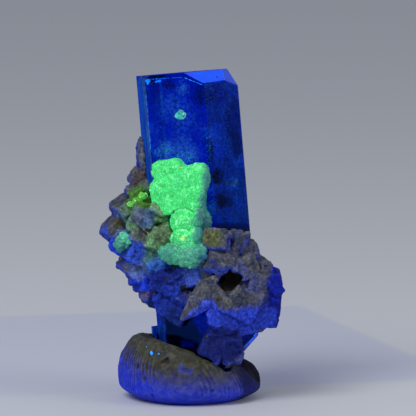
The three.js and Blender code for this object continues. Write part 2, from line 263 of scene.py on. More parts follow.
def calc(tree, operation, a, b=0.0, clamp=False):
    made = add_node(tree, "ShaderNodeMath", {0: a, 1: b}, operation=operation, use_clamp=clamp)
    return made.outputs[0]


def spread(tree, value, low, high, to_low=0.0, to_high=1.0):
    """Maps low to high onto to_low to to_high, with soft ends."""
    inputs = {"Value": value, "From Min": low, "From Max": high, "To Min": to_low, "To Max": to_high}
    made = add_node(tree, "ShaderNodeMapRange", inputs, interpolation_type="SMOOTHSTEP")
    return made.outputs["Result"]


def blend(tree, share, first, second, how="MIX"):
    made = add_node(tree, "ShaderNodeMix", data_type="RGBA", blend_type=how, clamp_factor=True)
    for key, value in ((0, share), (6, first), (7, second)):
        if isinstance(value, bpy.types.NodeSocket):
            tree.links.new(value, made.inputs[key])
        else:
            made.inputs[key].default_value = value
    return made.outputs[2]


def toned(tree, colour, value, low, high, darkest, lightest):
    """The colour made darker or lighter by a value that runs from low to high."""
    tone = spread(tree, value, low, high, darkest, lightest)
    grey = add_node(tree, "ShaderNodeCombineColor", {"Red": tone, "Green": tone, "Blue": tone})
    return blend(tree, 1.0, colour, grey.outputs["Color"], "MULTIPLY")


def nearness(tree, where, centre, reach):
    """1 at a point given in millimetres, falling to 0 at reach millimetres from it."""
    inputs = {0: where, 1: Vector(centre) * MM}
    away = add_node(tree, "ShaderNodeVectorMath", inputs, operation="DISTANCE").outputs["Value"]
    return spread(tree, away, 0.0, reach * MM, 1.0, 0.0)


def wandered(tree, where, size, far):
    """The place moved to and fro by up to far millimetres, so that what follows it has ragged edges."""
    inputs = {"Vector": where, "Scale": 1 / (size * MM), "Detail": 4.0, "Roughness": 0.65}
    drift = add_node(tree, "ShaderNodeTexNoise", inputs).outputs["Color"]
    inputs = {0: drift, 1: (0.5, 0.5, 0.5)}
    drift = add_node(tree, "ShaderNodeVectorMath", inputs, operation="SUBTRACT").outputs["Vector"]
    inputs = {0: drift, "Scale": 4 * far * MM}
    drift = add_node(tree, "ShaderNodeVectorMath", inputs, operation="SCALE").outputs["Vector"]
    return add_node(tree, "ShaderNodeVectorMath", {0: where, 1: drift}).outputs["Vector"]


def stains_and_painted_light(tree, colour, where, shape, patches):
    """The colour with each listed patch in turn, real colour marks and painted light and shade alike:
    its place in the photograph, reach, share and colour.
    """
    for right, down, reach, share, patch_colour in patches:
        near = nearness(tree, where, seen(shape, right, down)[0], reach)
        near = spread(tree, near, 0.05, 0.5, 0.0, share)
        colour = blend(tree, near, colour, srgb(*patch_colour))
    return colour


def bump(tree, height, distance, strength=1.0, below=None):
    """A bump whose full height is distance millimetres."""
    inputs = {"Height": height, "Distance": distance * MM, "Strength": strength}
    if below:
        inputs["Normal"] = below
    return add_node(tree, "ShaderNodeBump", inputs).outputs["Normal"]


# The beryl
BERYL = shape_of("aquamarine_crystal")
BERYL_IOR = 1.577
BERYL_DENSITY = 330
BERYL_KEPT = (0.0, 0.46, 0.96, 1.0)
BERYL_TINT = (0.06, 0.5, 1.0, 1.0)
BERYL_CLOUD = (0.16, 0.95, 1.0, 1.0)
# Painted shade: the colour that darkens the right front face and the foot.
BERYL_PAINTED_SHADE = (0.006, 0.02, 0.22, 1.0)
# Painted reflection: a blue tint for the prism's reflections.
BERYL_PAINTED_REFLECTION_TINT = (0.02, 0.16, 1.0, 1.0)

# Outward directions of some of the prism's faces, in its own frame. The right front face gets painted
# shade; the bright and dark facets, the broken corner and the narrow left face get a painted glow.
RIGHT_FRONT_FACE = Vector((0.62, -0.79, 0))
LEFT_NARROW_FACE = Vector((-0.82, -0.57, 0))
BRIGHT_FACET = Vector((0.33, -0.47, 0.82))
DARK_FACET = Vector((0.63, -0.35, 0.69))
BROKEN_CORNER = Vector((0.74, -0.5, -0.45))

# Darker and lighter parts of the beryl: place in the photograph, reach, share and colour. The near-black
# ones at the foot are painted shade.
DARK_BERYL = (12, 34, 128)
DIM_BERYL = (8, 20, 84)
DEEP_BERYL = (14, 60, 150)
PALE_BERYL = (70, 140, 255)
HAZY_BERYL = (100, 190, 255)
BLACK_BERYL = (10, 12, 26)
SHADED_BERYL = (2, 2, 4)
BERYL_STAINS_AND_PAINTED_SHADE = [
    (168, 84, 1.0, 0.5, DARK_BERYL),
    (196, 90, 1.2, 0.5, DARK_BERYL),
    (197, 103, 0.9, 0.4, DARK_BERYL),
    (182, 86, 0.7, 0.9, PALE_BERYL),
    (150, 104, 0.9, 0.5, HAZY_BERYL),
    (153, 124, 0.9, 0.5, HAZY_BERYL),
    (170, 122, 1.6, 0.4, PALE_BERYL),
    (163, 146, 1.8, 0.7, HAZY_BERYL),
    (178, 148, 2.0, 0.8, HAZY_BERYL),
    (192, 150, 1.4, 0.6, HAZY_BERYL),
    (206, 172, 1.1, 0.8, DEEP_BERYL),
    (207, 186, 1.1, 0.8, DEEP_BERYL),
    (208, 200, 1.1, 0.8, DEEP_BERYL),
    (209, 214, 1.2, 0.9, DEEP_BERYL),
    (210, 228, 1.2, 0.9, DEEP_BERYL),
    (216, 132, 1.3, 0.7, PALE_BERYL),
    (220, 150, 1.2, 0.5, PALE_BERYL),
    (218, 94, 1.6, 0.9, DARK_BERYL),
    (234, 104, 1.1, 0.9, DIM_BERYL),
    (234, 113, 1.1, 0.9, DIM_BERYL),
    (235, 122, 1.1, 0.9, DIM_BERYL),
    (235, 131, 1.1, 0.9, DIM_BERYL),
    (236, 140, 1.1, 0.9, DIM_BERYL),
    (236, 149, 1.1, 0.9, DIM_BERYL),
    (218, 176, 1.1, 0.9, BLACK_BERYL),
    (240, 162, 1.0, 0.8, PALE_BERYL),
    (233, 184, 1.0, 0.6, HAZY_BERYL),
    (222, 200, 1.1, 0.9, BLACK_BERYL),
    (229, 202, 1.0, 0.9, BLACK_BERYL),
    (240, 205, 1.0, 0.5, PALE_BERYL),
    (172, 322, 1.4, 1.0, SHADED_BERYL),
    (172, 336, 1.4, 1.0, SHADED_BERYL),
    (184, 322, 1.4, 1.0, SHADED_BERYL),
    (184, 334, 1.4, 1.0, SHADED_BERYL),
    (194, 334, 1.3, 1.0, SHADED_BERYL),
    (197, 344, 1.0, 1.0, SHADED_BERYL),
]
# The dark speck on the bright facet.
SPECK = (217, 77)
# Painted light: cloudy places of the prism given a glow as if they caught the light: place in the
# photograph, reach and strength.
BERYL_PAINTED_HAZE_GLOW = [
    (163, 150, 1.9, 0.09),
    (178, 152, 2.6, 0.12),
    (192, 154, 1.8, 0.09),
    (210, 190, 1.0, 0.05),
    (211, 210, 1.0, 0.06),
    (178, 112, 3.6, 0.03),
    (183, 88, 0.9, 0.1),
    (170, 104, 2.6, 0.05),
    (186, 122, 2.6, 0.05),
    (152, 130, 1.4, 0.05),
    (216, 140, 1.6, 0.03),
    (234, 183, 0.9, 0.08),
    (238, 160, 1.0, 0.05),
    (205, 132, 1.2, 0.05),
]


def facing(tree, way):
    """1 on the faces that face a way given in the prism's frame, 0 on the others."""
    normal = add_node(tree, "ShaderNodeTexCoord").outputs["Normal"]
    inputs = {0: normal, 1: LEAN @ way.normalized()}
    match = add_node(tree, "ShaderNodeVectorMath", inputs, operation="DOT_PRODUCT")
    return spread(tree, match.outputs["Value"], 0.955, 0.985)


def beryl_glass():
    """Clear blue crystal: plain glass over a volume that absorbs red most and blue least, with painted
    shade, a painted glow and blue-tinted reflections.
    """
    material, tree, shader = new_material("beryl_glass")
    shader.inputs["Roughness"].default_value = 0.03
    shader.inputs["IOR"].default_value = BERYL_IOR
    shader.inputs["Transmission Weight"].default_value = 1.0
    # Painted reflection: the reflections are tinted blue.
    shader.inputs["Specular Tint"].default_value = BERYL_PAINTED_REFLECTION_TINT

    where = places(tree)
    upright = {"Vector": where, "Rotation": LEAN.inverted().to_euler()}
    turned = add_node(tree, "ShaderNodeMapping", upright, vector_type="POINT").outputs["Vector"]
    squeezed = {"Vector": turned, "Scale": (1, 1, 0.12)}
    drawn_out = add_node(tree, "ShaderNodeMapping", squeezed, vector_type="POINT").outputs["Vector"]
    stripes = grain(tree, drawn_out, 0.5, detail=3.0)
    clouds = grain(tree, where, 2.2, detail=5.0, roughness=0.65)
    etch = grain(tree, where, 0.3, detail=4.0, roughness=0.7)

    colour = blend(tree, spread(tree, clouds, 0.38, 0.62), BERYL_TINT, BERYL_CLOUD)
    # Painted shade: the right front face darkened, and the prism darker towards its foot.
    painted_shade_side = calc(tree, "MULTIPLY", facing(tree, RIGHT_FRONT_FACE), 0.8)
    colour = blend(tree, painted_shade_side, colour, BERYL_PAINTED_SHADE)
    height = add_node(tree, "ShaderNodeSeparateXYZ", {"Vector": turned}).outputs["Z"]
    foot = spread(tree, height, 6.5 * MM, 12 * MM, 0.8, 0.0)
    colour = blend(tree, foot, colour, BERYL_PAINTED_SHADE)
    ragged = wandered(tree, where, 0.9, 0.4)
    colour = stains_and_painted_light(tree, colour, ragged, BERYL, BERYL_STAINS_AND_PAINTED_SHADE)
    colour = toned(tree, colour, stripes, 0.4, 0.6, 0.75, 1.15)
    colour = toned(tree, colour, etch, 0.38, 0.6, 0.42, 1.35)
    tree.links.new(colour, shader.inputs["Base Color"])

    # Painted light: a glow on the bright facet, the dark facet, the broken corner, the narrow left face
    # and cloudy places; the prism gives no light of its own.
    glow = calc(tree, "MULTIPLY", facing(tree, BRIGHT_FACET), 0.95)
    glow = calc(tree, "ADD", glow, calc(tree, "MULTIPLY", facing(tree, DARK_FACET), 0.2))
    corner = calc(tree, "MULTIPLY", facing(tree, BROKEN_CORNER), 0.5)
    corner = calc(tree, "MULTIPLY", corner, spread(tree, height, 4.4 * MM, 5.2 * MM))
    glow = calc(tree, "ADD", glow, corner)
    glow = calc(tree, "ADD", glow, calc(tree, "MULTIPLY", facing(tree, LEFT_NARROW_FACE), 0.04))
    glow = calc(tree, "MULTIPLY", glow, spread(tree, clouds, 0.35, 0.65, 0.8, 1.05))
    speck = nearness(tree, where, seen(BERYL, *SPECK)[0], 0.2)
    glow = calc(tree, "MULTIPLY", glow, spread(tree, speck, 0.0, 0.6, 1.0, 0.2))
    painted_haze_light = 0.0
    for right, down, reach, strength in BERYL_PAINTED_HAZE_GLOW:
        near = nearness(tree, ragged, seen(BERYL, right, down)[0], reach)
        painted_haze_light = calc(tree, "ADD", calc(tree, "MULTIPLY", near, strength), painted_haze_light)
    painted_haze_light = calc(tree, "MULTIPLY", painted_haze_light, spread(tree, etch, 0.36, 0.66, 0.4, 1.5))
    tree.links.new(calc(tree, "ADD", glow, painted_haze_light), shader.inputs["Emission Strength"])
    painted_haze_share = calc(tree, "MULTIPLY", painted_haze_light, 12.0, clamp=True)
    lit = blend(tree, painted_haze_share, srgb(0, 84, 255), srgb(70, 170, 235))
    tree.links.new(lit, shader.inputs["Emission Color"])

    relief = bump(tree, stripes, 0.02, 0.4)
    relief = bump(tree, etch, 0.015, 0.6, below=relief)
    tree.links.new(relief, shader.inputs["Normal"])

    absorbed = {"Color": BERYL_KEPT, "Density": float(BERYL_DENSITY)}
    absorption = add_node(tree, "ShaderNodeVolumeAbsorption", absorbed)
    output = tree.nodes["Material Output"]
    tree.links.new(absorption.outputs["Volume"], output.inputs["Volume"])
    return material


def aquamarine_crystal():
    """The prism with softened edges."""
    made = node_copy("aquamarine_crystal")
    bmesh.ops.dissolve_limit(
        made, angle_limit=math.radians(0.5), verts=made.verts, edges=made.edges
    )
    edges = [e for e in made.edges if e.is_manifold and e.calc_face_angle(0) > math.radians(8)]
    bmesh.ops.bevel(
        made,
        geom=edges,
        offset=0.05,
        offset_type="OFFSET",
        affect="EDGES",
        segments=1,
        profile=0.5,
        material=-1,
        clamp_overlap=True,
    )
    bmesh.ops.recalc_face_normals(made, faces=made.faces)
    return finished(
        "blue_beryl_prism", made, beryl_glass(), ["aquamarine_crystal"], smooth=False
    )


# Flakes and films inside the beryl, and flakes and bars of painted light
# Each veil: place in the photograph, half width and half height there in millimetres, how deep
# it starts under the face, how thick it is, the number of flakes and their size.
PALE_VEILS = [
    (181, 87, 0.8, 0.9, 0.3, 0.5, 150, 0.07),
    (206, 134, 0.7, 1.6, 0.6, 1.2, 170, 0.06),
    (233, 184, 0.8, 0.3, 0.3, 0.4, 70, 0.07),
    (171, 108, 0.9, 1.6, 0.8, 1.5, 130, 0.05),
    (218, 210, 0.7, 0.8, 0.4, 0.6, 80, 0.06),
    (160, 125, 0.6, 1.4, 0.6, 1.2, 80, 0.05),
]
# Painted light: teal flakes that stand for the hyalite's green light shining into the prism.
PAINTED_TEAL_LIGHT_CLOUDS = [
    (166, 151, 1.8, 0.7, 0.06, 0.3, 170, 0.05),
    (188, 157, 1.3, 0.5, 0.06, 0.3, 90, 0.05),
    (208, 150, 0.3, 1.6, 0.08, 0.3, 40, 0.05),
    (206, 176, 0.5, 1.2, 0.08, 0.3, 70, 0.05),
    (210, 208, 0.5, 1.6, 0.08, 0.4, 110, 0.06),
]
DARK_VEILS = [
    (218, 176, 0.55, 0.75, 0.4, 0.4, 150, 0.09),
    (224, 202, 0.65, 0.7, 0.4, 0.4, 140, 0.09),
    (232, 118, 0.35, 2.4, 1.0, 0.8, 150, 0.07),
    (216, 95, 1.2, 1.0, 1.0, 1.2, 160, 0.06),
    (196, 97, 0.6, 1.2, 0.7, 1.0, 120, 0.06),
    (166, 86, 0.8, 0.5, 0.5, 0.6, 90, 0.06),
    (213, 150, 0.3, 1.3, 0.3, 0.4, 60, 0.09),
    (222, 240, 0.6, 0.8, 0.5, 0.8, 70, 0.07),
]
RUST_VEILS = [
    (152.5, 83, 0.16, 0.14, 0.1, 0.15, 14, 0.06),
    (216.5, 190, 0.1, 0.16, 0.2, 0.2, 10, 0.05),
    (219, 219, 0.2, 0.1, 0.2, 0.2, 10, 0.04),
]
GREY_VEILS = [
    (228, 183.5, 0.4, 0.14, 0.03, 0.1, 60, 0.06),
    (236, 182.5, 0.5, 0.2, 0.03, 0.1, 80, 0.06),
    (236, 152, 0.5, 0.2, 0.05, 0.2, 20, 0.05),
]
# Painted light: bright flakes that make a lit chip at the upper left and a lit spot lower down.
PAINTED_LIGHT_CHIP_CLOUDS = [
    (147.5, 81.5, 0.3, 0.25, 0.08, 0.1, 46, 0.09),
    (157, 80.5, 0.45, 0.2, 0.1, 0.15, 26, 0.07),
    (154.5, 152, 0.12, 0.25, 0.1, 0.15, 10, 0.05),
]
# Painted highlights along the edges, drawn as bright bars: from, to, half width and how many lengths.
PAINTED_HIGHLIGHT_BARS = [
    ((184.5, 77.8), (202.6, 85.0), 0.12, 5),
    ((147, 79.6), (182, 77.3), 0.07, 9),
    ((145.5, 92), (150.5, 150), 0.05, 8),
    ((249.5, 343), (257, 332), 0.2, 2),
]


def veil_look(name, colour, glow):
    """The look of flakes and bright bars inside the prism, with a painted glow that stands in for the
    light they catch.
    """
    material, tree, shader = new_material(name)
    uneven = grain(tree, places(tree), 0.5, detail=2.0)
    tree.links.new(
        toned(tree, srgb(*colour), uneven, 0.3, 0.7, 0.6, 1.2), shader.inputs["Base Color"]
    )
    shader.inputs["Emission Color"].default_value = srgb(*colour)
    shader.inputs["Emission Strength"].default_value = glow
    shader.inputs["Roughness"].default_value = 0.35
    return material


def flake(made, place, facing, size, seed):
    """A thin five-sided plate that faces roughly out of the crystal."""
    tilt = Vector([between(-0.7, 0.7, seed, 20 + k) for k in range(3)])
    turn = (facing + tilt).to_track_quat("Z", "Y").to_matrix().to_4x4()
    stretch = Matrix.Diagonal((between(0.5, 1.3, seed, 24), between(0.5, 1.3, seed, 25), 1, 1))
    bmesh.ops.create_cone(
        made,
        cap_ends=True,
        segments=5,
        radius1=size,
        radius2=size * 0.8,
        depth=0.012,
        matrix=Matrix.Translation(place) @ turn @ stretch,
    )


def veil_piece(name, veils, material, seed):
    """Clouds of flakes that lie just under the prism's faces."""
    made = bmesh.new()
    _, across, up, _ = camera_place()
    for row, (right, down, wide, high, deep, thick, count, size) in enumerate(veils):
        centre, normal = seen(BERYL, right, down)
        for i in range(count):
            key = seed + 1000 * row + i
            angle = between(0, 2 * math.pi, key, 1)
            reach = chance(key, 2) ** 0.7
            side = wide * reach * math.cos(angle)
            rise = high * reach * math.sin(angle)
            place = centre + (across - normal * across.dot(normal)) * side
            place += (up - normal * up.dot(normal)) * rise
            place -= normal * (deep + thick * chance(key, 3))
            flake(made, place, normal, size * between(0.5, 1.3, key, 4), key)
    return finished(name, made, material, smooth=False)


def painted_edge_highlights(material):
    """Painted highlights: thin glowing bars just inside the prism's edges."""
    made = bmesh.new()
    for row, (start, end, half_width, lengths) in enumerate(PAINTED_HIGHLIGHT_BARS):
        first, normal = seen(BERYL, *start)
        last, _ = seen(BERYL, *end)
        along = (last - first).normalized()
        turn = along.to_track_quat("X", "Z").to_matrix().to_4x4()
        for i in range(lengths):
            place = first.lerp(last, (i + between(0.4, 0.6, row, i)) / lengths) - normal * 0.08
            size = ((last - first).length / lengths * between(0.6, 0.95, row, i, 1), half_width * 2)
            stretch = Matrix.Diagonal((size[0], size[1] * between(0.5, 1.0, row, i, 2), 0.03, 1))
            matrix = Matrix.Translation(place) @ turn @ stretch
            bmesh.ops.create_cube(made, size=1.0, matrix=matrix)
    return finished("painted_highlights_along_edges", made, material, smooth=False)


# The feldspar
SKIN_OF_STONE = 0.132
CRUMBS = 100
CRUMBED_FACES = 1800
# Blocks set over the solid's own: place in the photograph, how far out, width, height and depth
# in millimetres, and the turns in degrees in the picture, to the right and back.
SET_BLOCKS = [
    (149, 215, -0.75, 3.5, 1.7, 2.0, 10, 16, 24),
    (162, 235, -0.75, 2.3, 1.7, 1.9, -24, -12, -12),
    (138, 238, -0.75, 2.0, 1.5, 1.7, 36, 18, 14),
    (140, 204, -0.7, 2.2, 1.3, 1.6, -28, 20, 20),
    (139, 273, -0.8, 1.7, 2.4, 1.8, 6, 14, 10),
    (160, 207, 0.7, 1.6, 1.6, 1.4, 20, -10, 10),
    (166, 262, -1.0, 2.2, 1.8, 2.0, 14, 30, 16),
    (216, 240, -0.8, 2.3, 2.0, 1.9, 4, -8, 10),
    (230, 277, 0.3, 2.8, 2.8, 0.6, 20, 5, 5),
    (182, 297, 0.7, 1.8, 1.6, 1.4, 30, 10, 20),
    (247, 285, -0.5, 1.9, 2.3, 1.6, 32, 0, 0),
]
# The middles of the blade's broad side, of the dark pocket and of the wrinkled stone at the left.
BLADE_SIDE = Vector((1.2, -5.9, 10.9))
POCKET = Vector((3.9, -5.2, 12.3))
WRINKLED = Vector((-2.3, -5.3, 12.0))


def crumb(made, place, size, seed):
    """A small crystal: a cube pressed and turned, with its edges cut back."""
    turn = Matrix.Rotation(between(0, math.pi, seed, 1), 4, "X") @ Matrix.Rotation(
        between(0, math.pi, seed, 2), 4, "Z"
    )
    stretch = Matrix.Diagonal((*[size * between(0.6, 1.3, seed, 3 + k) for k in range(3)], 1))
    matrix = Matrix.Translation(place) @ turn @ stretch
    corners = bmesh.ops.create_cube(made, size=1.0, matrix=matrix)["verts"]
    edges = list({e for v in corners for e in v.link_edges})
    bmesh.ops.bevel(
        made, geom=edges, offset=size * 0.12, affect="EDGES", segments=1, profile=0.5, material=-1
    )


def set_block(made, base, right, down, out, wide, high, deep, roll, yaw, pitch):
    """A block with crisp edges, square to the view but for its turns."""
    _, across, up, back = camera_place()
    place = seen(base, right, down)[0] + back * out
    view = Matrix((across, up, back)).transposed().to_4x4()
    turn = Matrix.Rotation(math.radians(-roll), 4, "Z") @ Matrix.Rotation(math.radians(yaw), 4, "Y")
    turn = turn @ Matrix.Rotation(math.radians(-pitch), 4, "X")
    matrix = Matrix.Translation(place) @ view @ turn @ Matrix.Diagonal((wide, high, deep, 1))
    corners = bmesh.ops.create_cube(made, size=1.0, matrix=matrix)["verts"]
    edges = list({e for v in corners for e in v.link_edges})
    bmesh.ops.bevel(made, geom=edges, offset=0.12, affect="EDGES", segments=1, profile=0.5, material=-1)


def cleavage(place, along, step, depth):
    """Flat treads and short risers along one direction."""
    height = place.dot(along) / step + 0.3 * noise.noise(place * 0.6)
    share = height - math.floor(height)
    return depth * (smooth_step(share, 0.7, 1.0) - share)


CLEAVAGE_WAYS = [Vector((0.3, -0.45, 0.84)), Vector((-0.78, -0.5, 0.36))]


def stone_relief(place, normal):
    """The broken surface of the feldspar: swells, cleavage steps, wrinkles, grain and pits."""
    plain = close_to(place, BLADE_SIDE, 3.4)
    swell = 0.06 * noise.fractal(place * 0.8, 0.9, 2.0, 3) * (1 - 0.8 * plain)
    steps = 0.0
    for way in CLEAVAGE_WAYS:
        share = smooth_step(noise.noise(place * 0.35 + way * 7), -0.05, 0.25)
        steps += share * cleavage(place, way, 0.5, 0.06) * (1 - plain)
    fine = 0.024 * noise.fractal(place * 3.2, 0.7, 2.0, 3)
    pit = smooth_step(noise.noise(place * 1.7 + Vector((9, 0, 0))), 0.4, 0.65)
    wrinkle = smooth_step(close_to(place, WRINKLED, 3.4), 0.0, 0.6) * noise.ridged_multi_fractal(
        place * 1.7, 0.8, 2.0, 3, 1.0, 2.0
    )
    hollow = close_to(place, POCKET, 1.7)
    return 0.1 + swell + steps + fine - 0.12 * pit - 0.14 * wrinkle - 0.55 * hollow


# The stone's colours. The blues are painted blue light on faces that turn down or aside; the deep, dim
# and lump blues and the near-black are painted shade; the lilac is partly the stone's own tint and
# partly painted shade.
GREY = (54, 60, 84)
TAN = (90, 90, 88)
BROWN = (72, 60, 52)
RUST = (104, 60, 44)
OLIVE = (78, 84, 40)
GREEN_GREY = (102, 146, 104)
LILAC_AND_PAINTED_SHADE = (70, 78, 136)
PAINTED_SLATE_BLUE_LIGHT = (48, 76, 180)
PAINTED_BLUE_LIGHT = (26, 56, 196)
PAINTED_DEEP_BLUE_SHADE = (20, 40, 134)
PAINTED_TEAL_BLUE_LIGHT = (46, 100, 194)
PAINTED_HOLLOW_SHADE = (14, 14, 18)
PAINTED_SIDE_BLUE_LIGHT = (8, 26, 138)
PAINTED_LOW_BLUE_LIGHT = (38, 62, 188)
PAINTED_DIM_BLUE_SHADE = (24, 50, 158)
PAINTED_CLEAR_BLUE_LIGHT = (56, 78, 210)
PAINTED_LUMP_BLUE_SHADE = (18, 30, 104)
# Stone colour marks and painted light and shade: place in the photograph, reach, share and colour. The
# blue marks are painted blue light; the deep, dim and lump blues, the dark blues at 167, 281 and 176,
# 318, the near-black at 185, 289 and the dark brown in the pocket at 231, 276 are painted shade.
STONE_STAINS_AND_PAINTED_LIGHT = [
    (139, 178, 1.4, 0.7, BROWN),
    (140, 200, 2.2, 0.9, (70, 116, 36)),
    (150, 206, 1.4, 0.8, (86, 122, 60)),
    (122, 222, 1.6, 0.7, (76, 72, 44)),
    (146, 218, 1.6, 0.9, (70, 92, 140)),
    (136, 214, 1.4, 0.8, (82, 88, 116)),
    (144, 231, 0.9, 1.0, (44, 40, 24)),
    (162, 234, 1.8, 0.8, (92, 112, 84)),
    (138, 238, 1.5, 0.8, (96, 94, 104)),
    (118, 254, 1.8, 1.0, PAINTED_BLUE_LIGHT),
    (112, 246, 1.2, 1.0, PAINTED_BLUE_LIGHT),
    (105, 234, 1.6, 0.9, PAINTED_SLATE_BLUE_LIGHT),
    (132, 253, 2.2, 1.0, (46, 78, 190)),
    (124, 236, 1.6, 0.8, (70, 84, 136)),
    (142, 284, 2.0, 1.0, PAINTED_BLUE_LIGHT),
    (138, 268, 1.7, 0.9, (96, 118, 184)),
    (158, 266, 1.8, 0.9, PAINTED_TEAL_BLUE_LIGHT),
    (154, 255, 1.5, 0.8, (72, 124, 120)),
    (196, 269, 1.3, 0.6, (66, 104, 120)),
    (187, 274, 2.2, 0.9, (58, 86, 190)),
    (168, 280, 2.4, 0.95, PAINTED_DEEP_BLUE_SHADE),
    (156, 282, 1.6, 0.95, PAINTED_DEEP_BLUE_SHADE),
    (174, 302, 3.0, 1.0, PAINTED_DIM_BLUE_SHADE),
    (162, 308, 2.6, 1.0, PAINTED_DIM_BLUE_SHADE),
    (176, 318, 2.0, 0.9, (18, 40, 116)),
    (145, 294, 0.9, 0.8, (92, 84, 98)),
    (147, 294, 0.4, 0.5, RUST),
    (167, 281, 0.6, 0.8, (28, 34, 84)),
    (185, 289, 0.6, 0.95, PAINTED_HOLLOW_SHADE),
    (211, 238, 1.5, 0.9, (88, 98, 60)),
    (226, 248, 0.9, 0.9, LILAC_AND_PAINTED_SHADE),
    (240, 268, 1.0, 0.6, LILAC_AND_PAINTED_SHADE),
    (252, 284, 1.7, 0.6, LILAC_AND_PAINTED_SHADE),
    (231, 276, 2.4, 1.0, (32, 31, 26)),
    (226, 287, 0.8, 0.9, (52, 54, 30)),
    (281, 276, 1.6, 1.0, (4, 20, 132)),
    (278, 272, 2.0, 1.0, PAINTED_SIDE_BLUE_LIGHT),
    (279, 284, 2.0, 1.0, PAINTED_SIDE_BLUE_LIGHT),
    (279, 296, 2.0, 1.0, PAINTED_SIDE_BLUE_LIGHT),
    (276, 308, 2.0, 1.0, PAINTED_SIDE_BLUE_LIGHT),
    (274, 320, 2.0, 1.0, PAINTED_SIDE_BLUE_LIGHT),
    (218, 322, 2.2, 1.0, PAINTED_LOW_BLUE_LIGHT),
    (234, 324, 2.4, 1.0, PAINTED_LOW_BLUE_LIGHT),
    (250, 322, 2.4, 1.0, PAINTED_LOW_BLUE_LIGHT),
    (264, 318, 2.0, 0.9, PAINTED_LOW_BLUE_LIGHT),
    (206, 308, 1.4, 0.9, PAINTED_CLEAR_BLUE_LIGHT),
    (198, 313, 1.2, 0.9, PAINTED_CLEAR_BLUE_LIGHT),
    (208, 344, 2.8, 1.0, PAINTED_LUMP_BLUE_SHADE),
    (228, 345, 2.8, 1.0, PAINTED_LUMP_BLUE_SHADE),
    (205, 338, 0.6, 0.7, OLIVE),
]


def feldspar_look():
    """Grey to tan stone, with painted blue light where it turns down or aside and painted shade in its
    hollows, green beside the hyalite.
    """
    material, tree, shader = new_material("feldspar_stone")
    where = places(tree)
    shape = shape_of("feldspar_matrix")
    raised = stored(tree, "raised")
    broad = grain(tree, where, 3.2, detail=4.0)
    medium = grain(tree, where, 0.8, detail=5.0, roughness=0.65)
    fine = grain(tree, where, 0.3, detail=4.0, roughness=0.8)
    speckle = cells(tree, where, 0.2, output="Color")
    speckle = add_node(tree, "ShaderNodeSeparateXYZ", {"Vector": speckle}).outputs["X"]

    stone = blend(tree, spread(tree, medium, 0.35, 0.65), srgb(*GREY), srgb(*TAN))
    stone = blend(tree, spread(tree, broad, 0.46, 0.68, 0.0, 0.4), stone, srgb(*LILAC_AND_PAINTED_SHADE))
    # Painted blue light: faces that turn down or aside take blue.
    blue = blend(tree, spread(tree, medium, 0.35, 0.65), srgb(38, 58, 162), srgb(60, 76, 154))
    turned = calc(tree, "MULTIPLY", calc(tree, "SUBTRACT", medium, 0.5), 0.9)
    turned = calc(tree, "ADD", stored(tree, "turned"), turned)
    stone = blend(tree, spread(tree, turned, 0.12, 0.9, 0.0, 0.95), stone, blue)

    near = nearness(tree, where, middle(CRUST) + Vector((-2.2, 1.2, -1.6)), 6.5)
    near = spread(tree, calc(tree, "MULTIPLY", near, spread(tree, medium, 0.3, 0.6, 0.7, 1.1)), 0.1, 0.7)
    stone = blend(tree, near, stone, srgb(*GREEN_GREY))
    stone = stains_and_painted_light(tree, stone, wandered(tree, where, 0.8, 0.45), shape, STONE_STAINS_AND_PAINTED_LIGHT)

    stone = toned(tree, stone, speckle, 0.0, 1.0, 0.84, 1.16)
    stone = toned(tree, stone, fine, 0.38, 0.62, 0.6, 1.42)
    # Painted shade in the hollows, painted light on the raised parts.
    stone = toned(tree, stone, raised, -0.16, 0.12, 0.35, 1.3)

    tree.links.new(stone, shader.inputs["Base Color"])
    tree.links.new(spread(tree, medium, 0.3, 0.7, 0.5, 0.8), shader.inputs["Roughness"])
    shader.inputs["Specular IOR Level"].default_value = 0.12
    relief = bump(tree, medium, 0.06, 0.5)
    relief = bump(tree, fine, 0.08, 1.0, below=relief)
    tree.links.new(relief, shader.inputs["Normal"])
    return material


def turned_away(way):
    """0 where a surface faces the front, the back or up, 1 where it faces down or aside."""
    lit = (0.9 if way.y > 0 else 1.0) * abs(way.y) + 1.1 * way.z
    return 1 - smooth_step(lit, 0.4, 0.95)


def crumb_spots(made):
    """Places and sizes for crumbs on the larger faces, none on the left front or near the blade."""
    faces = sorted(made.faces, key=lambda f: -f.calc_area())[:CRUMBED_FACES]
    spots = []
    for i in range(CRUMBS):
        face = faces[int(chance(i, 11) * len(faces))]
        place = face.calc_center_median().copy()
        left_front = place.x < 0.0 and place.y < -3.0 and place.z > 11.0
        bare = left_front or face.normal.x > 0.5 or close_to(place, BLADE_SIDE, 4.2) > 0.2
        if not bare:
            spots.append((place, between(0.2, 0.7, i, 12)))
    return spots


def stone_and_prism():
    """The shape of the feldspar and the prism together, to be asked what is seen of them."""
    base = node_copy("feldspar_matrix")
    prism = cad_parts["aquamarine_crystal"].data.copy()
    prism.transform(Matrix.Scale(1 / MM, 4))
    base.from_mesh(prism)
    bpy.data.meshes.remove(prism)
    shape = BVHTree.FromBMesh(base)
    base.free()
    return shape


def feldspar_matrix():
    """The solid with crumbs and crisp blocks set on it, joined in one broken surface."""
    made = node_copy("feldspar_matrix")
    for i, (place, size) in enumerate(crumb_spots(made)):
        crumb(made, place, size, i)
    base = stone_and_prism()
    for numbers in SET_BLOCKS:
        set_block(made, base, *numbers)
    made = remeshed(made, SKIN_OF_STONE)
    ways, _ = softened(made, 30)
    pushed(made, stone_relief)
    smoothed(made, 1, 0.2)
    _, stands = softened(made, 8)
    values = {"turned": [turned_away(way) for way in ways], "raised": stands}
    return finished(
        "feldspar_stone_mass", made, feldspar_look(), ["feldspar_matrix"], values=values
    )


# The hyalite
SKIN_OF_OPAL = 0.08
